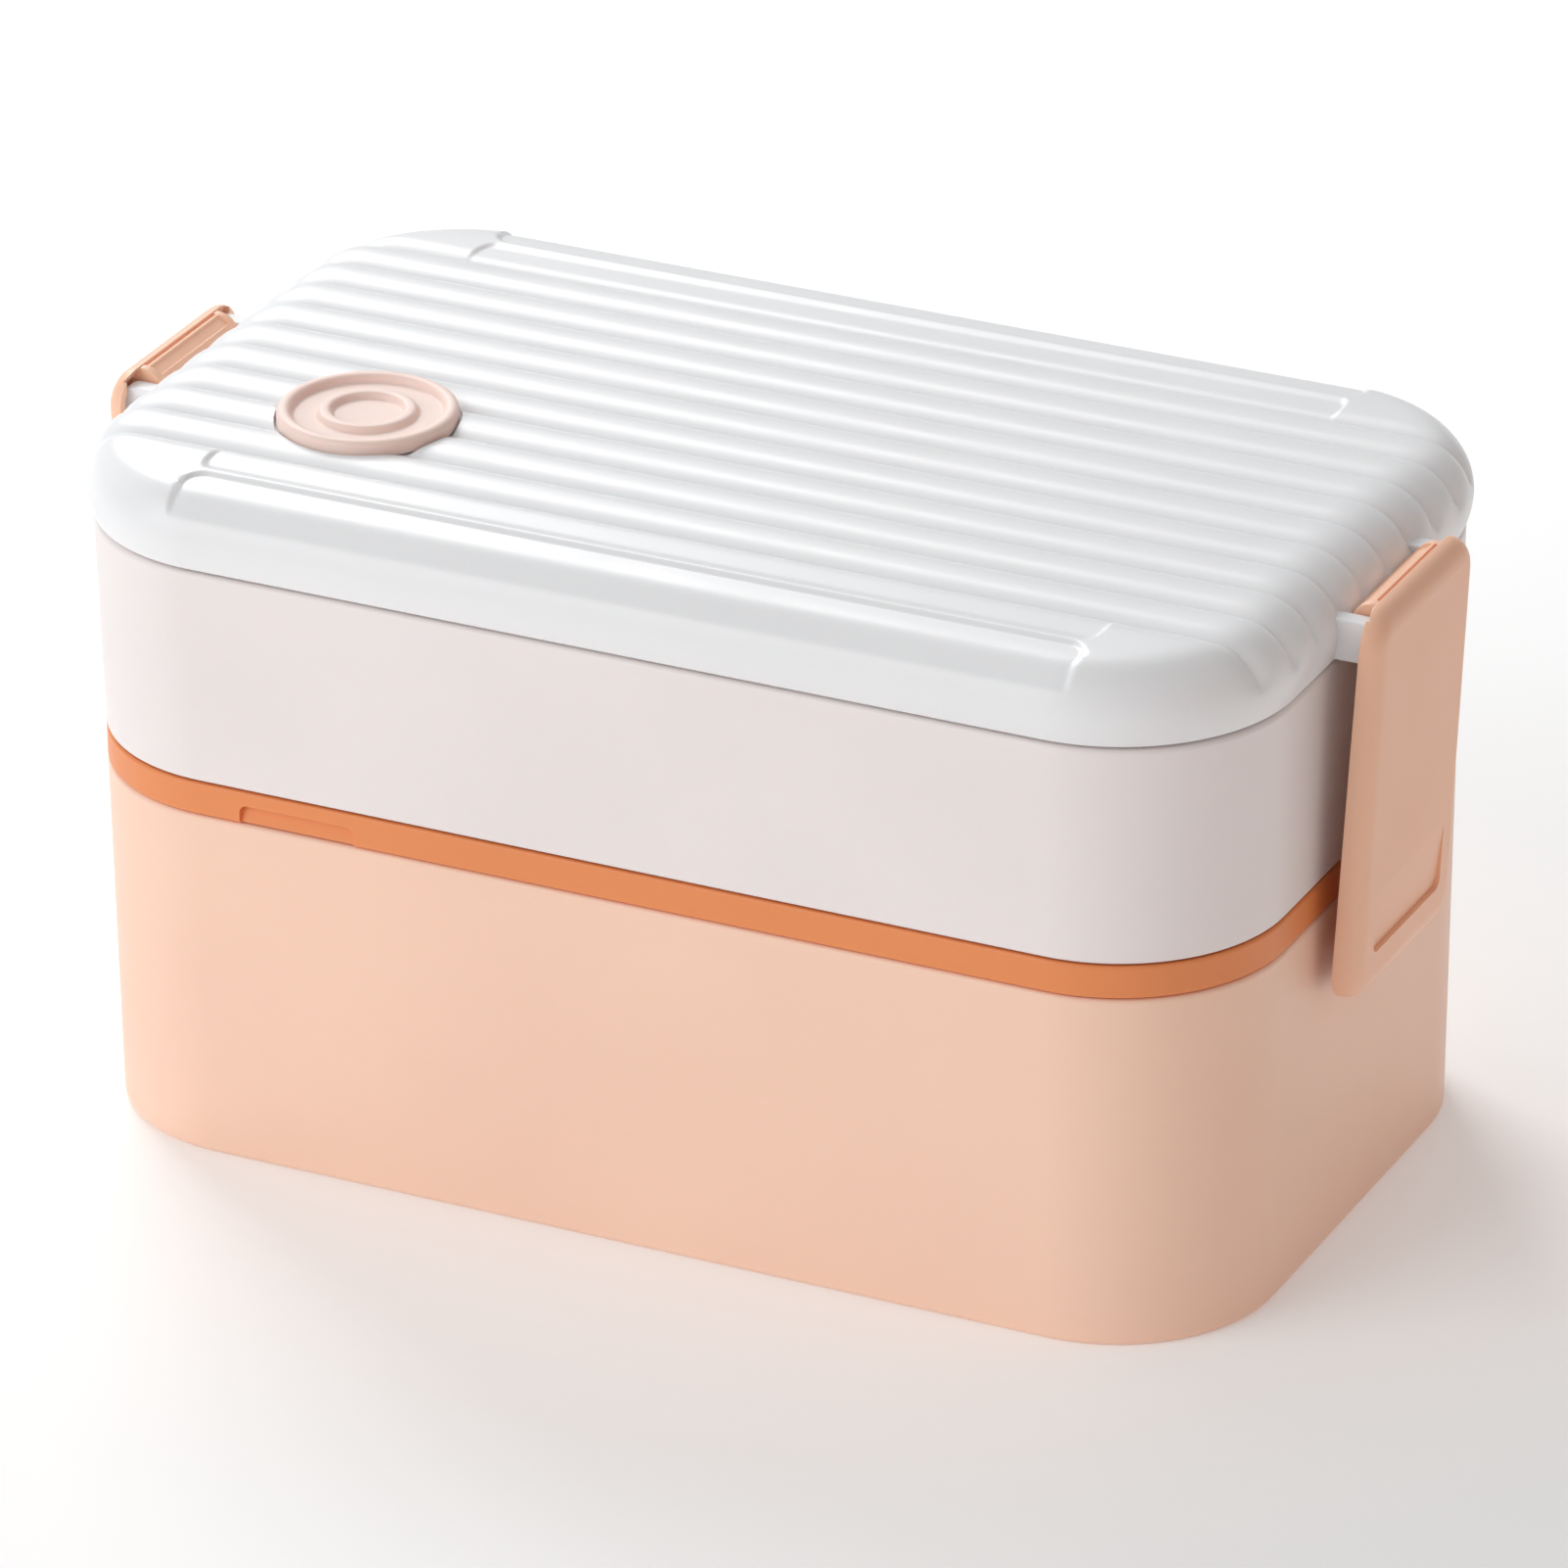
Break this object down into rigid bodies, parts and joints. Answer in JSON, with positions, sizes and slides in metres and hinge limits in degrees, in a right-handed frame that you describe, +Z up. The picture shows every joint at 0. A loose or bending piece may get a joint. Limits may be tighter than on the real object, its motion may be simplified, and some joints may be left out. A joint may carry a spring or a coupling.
{
  "type": "bento lunch box",
  "caption": "Stackable two-tier lunch box with a ribbed clip-on lid, a steam vent plug, an inner lid between the tiers and snap latches at the ends.",
  "frame": {"origin": "centre of the lower box's underside, which stands on the table", "axes": "+X along the box's length towards the right latch, -Y the front, +Z up through the lid"},
  "size_m": [0.2032, 0.1124, 0.1088],
  "materials": {
    "white_plastic": "satin moulded polypropylene",
    "peach_plastic": "satin moulded polypropylene",
    "latch_plastic": "satin moulded plastic",
    "orange_plastic": "satin moulded polypropylene",
    "pink_silicone": "satin silicone",
    "clear_silicone": "soft translucent silicone"
  },
  "bodies": {
    "lower_box": {"lower_box": "peach_plastic"},
    "mid_lid": {"mid_lid": "orange_plastic", "mid_lid_seal": "clear_silicone"},
    "upper_box": {"upper_box": "white_plastic"},
    "divider": {"divider": "white_plastic"},
    "lid": {"lid": "white_plastic", "lid_seal": "clear_silicone"},
    "vent_plug": {"vent_plug": "pink_silicone"},
    "left_latch": {"left_latch": "latch_plastic"},
    "right_latch": {"right_latch": "latch_plastic"}
  },
  "joints": [
    {"name": "mid_lid_lift", "type": "slide", "parent": "lower_box", "child": "mid_lid", "axis": [0, 0, 1], "range_m": [0, 0.08]},
    {"name": "upper_box_lift", "type": "slide", "parent": "mid_lid", "child": "upper_box", "axis": [0, 0, 1], "range_m": [0, 0.08]},
    {"name": "lid_lift", "type": "slide", "parent": "upper_box", "child": "lid", "axis": [0, 0, 1], "range_m": [0, 0.08]},
    {"name": "divider_lift", "type": "slide", "parent": "upper_box", "child": "divider", "axis": [0, 0, 1], "range_m": [0, 0.004]},
    {"name": "vent_plug_lift", "type": "slide", "parent": "lid", "child": "vent_plug", "axis": [0, 0, 1], "range_m": [0, 0.003]},
    {"name": "left_latch_hinge", "type": "hinge", "parent": "lid", "child": "left_latch", "pos_m": [-0.09805, 0, 0.0998], "axis": [0, 1, 0], "range_deg": [0, 60]},
    {"name": "right_latch_hinge", "type": "hinge", "parent": "lid", "child": "right_latch", "pos_m": [0.09805, 0, 0.0998], "axis": [0, -1, 0], "range_deg": [0, 60]}
  ]
}
